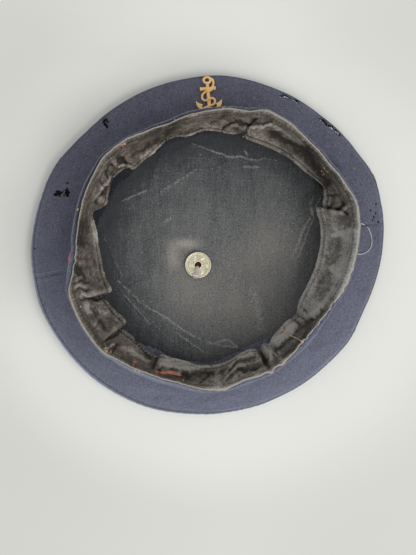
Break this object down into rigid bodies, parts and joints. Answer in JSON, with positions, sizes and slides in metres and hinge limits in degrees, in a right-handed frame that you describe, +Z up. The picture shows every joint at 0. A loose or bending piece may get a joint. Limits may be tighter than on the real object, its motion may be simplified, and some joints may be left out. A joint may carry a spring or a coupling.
{
  "type": "sailor cap",
  "caption": "Soft navy wool sailor cap with an upright band, leather sweatband and anchor badge, lying on its flat crown with the head opening up.",
  "frame": {"origin": "on the surface that the cap lies on, under the middle of the crown's outline", "axes": "+Z up, out of the head opening; -Y towards the front of the cap, where the anchor badge is; X across it"},
  "size_m": [0.2292, 0.2202, 0.0541],
  "materials": {
    "navy_wool": "matt, milled wool, worn paler along folded edges",
    "red_wool": "matt",
    "black_leather": "worn semi-gloss, creased, scuffed grey at the edges",
    "black_oilcloth": "glazed, creased and rubbed",
    "nickel": "dull, warm grey, slightly tarnished",
    "pale_tape": "slightly glossy and translucent",
    "gilt_brass": "worn gilt"
  },
  "bodies": {
    "root": {"crown_top": "navy_wool", "crown_side_front": "navy_wool", "crown_side_back": "navy_wool", "band": "navy_wool", "piping": "red_wool", "sweatband": "black_leather", "lining": "black_oilcloth", "pierced_disc": "nickel", "tie": "pale_tape", "anchor_badge": "gilt_brass"}
  },
  "joints": []
}
